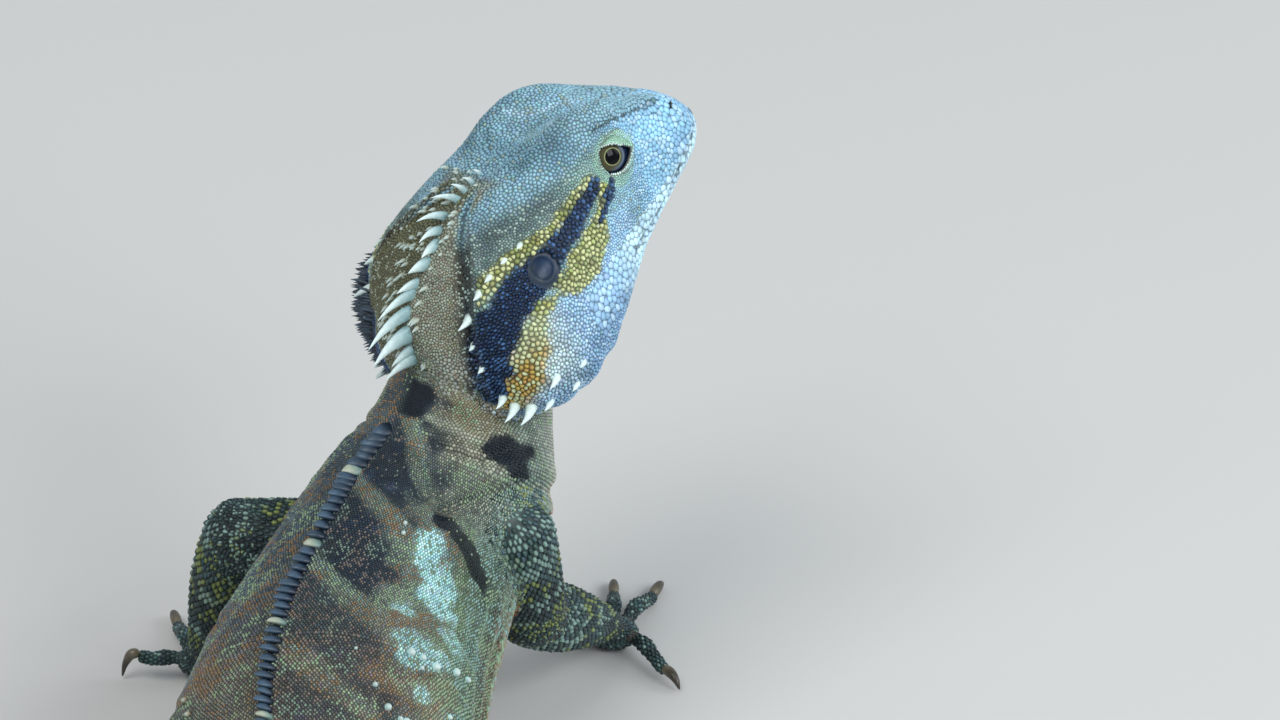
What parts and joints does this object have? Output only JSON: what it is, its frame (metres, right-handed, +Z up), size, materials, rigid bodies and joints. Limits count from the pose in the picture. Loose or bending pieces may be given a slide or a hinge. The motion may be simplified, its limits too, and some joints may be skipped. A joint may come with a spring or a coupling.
{
  "type": "australian water dragon",
  "caption": "Life-size still model of a water dragon lizard at rest on the floor, chest raised, head turned to its right, with nuchal and vertebral crest.",
  "frame": {"origin": "on the floor under the middle of the model's bounding box", "axes": "+Z up, +Y ahead of the hips, so that the tail runs towards -Y, and +X to the animal's right"},
  "size_m": [0.2088, 0.6864, 0.1205],
  "materials": {
    "head_skin": "scaly grey-green skin with a black stripe through the ear, yellow scales beside it and pale jaws",
    "body_skin": "small keeled brown scales with dark cross bands and pale green patches",
    "tail_skin": "keeled brown scales with dark and pale bands",
    "limb_skin": "larger keeled black scales flecked with yellow-green",
    "crest": "horny cream-white spines and slate-blue scutes",
    "claw": "smooth dark brown horn",
    "eye": "wet, clear cornea over a dark grey-brown iris with a thin pale gold ring round the pupil"
  },
  "bodies": {
    "root": {"head": "head_skin", "neck": "body_skin", "torso": "body_skin", "eye_left": "eye", "eye_right": "eye", "tail_1": "tail_skin", "tail_2": "tail_skin", "tail_3": "tail_skin", "tail_4": "tail_skin", "tail_5": "tail_skin", "upper_arm_left": "limb_skin", "upper_arm_right": "limb_skin", "forearm_left": "limb_skin", "forearm_right": "limb_skin", "hand_left": "limb_skin", "hand_right": "limb_skin", "thigh_left": "limb_skin", "thigh_right": "limb_skin", "shin_left": "limb_skin", "shin_right": "limb_skin", "foot_left": "limb_skin", "foot_right": "limb_skin"}
  },
  "joints": []
}
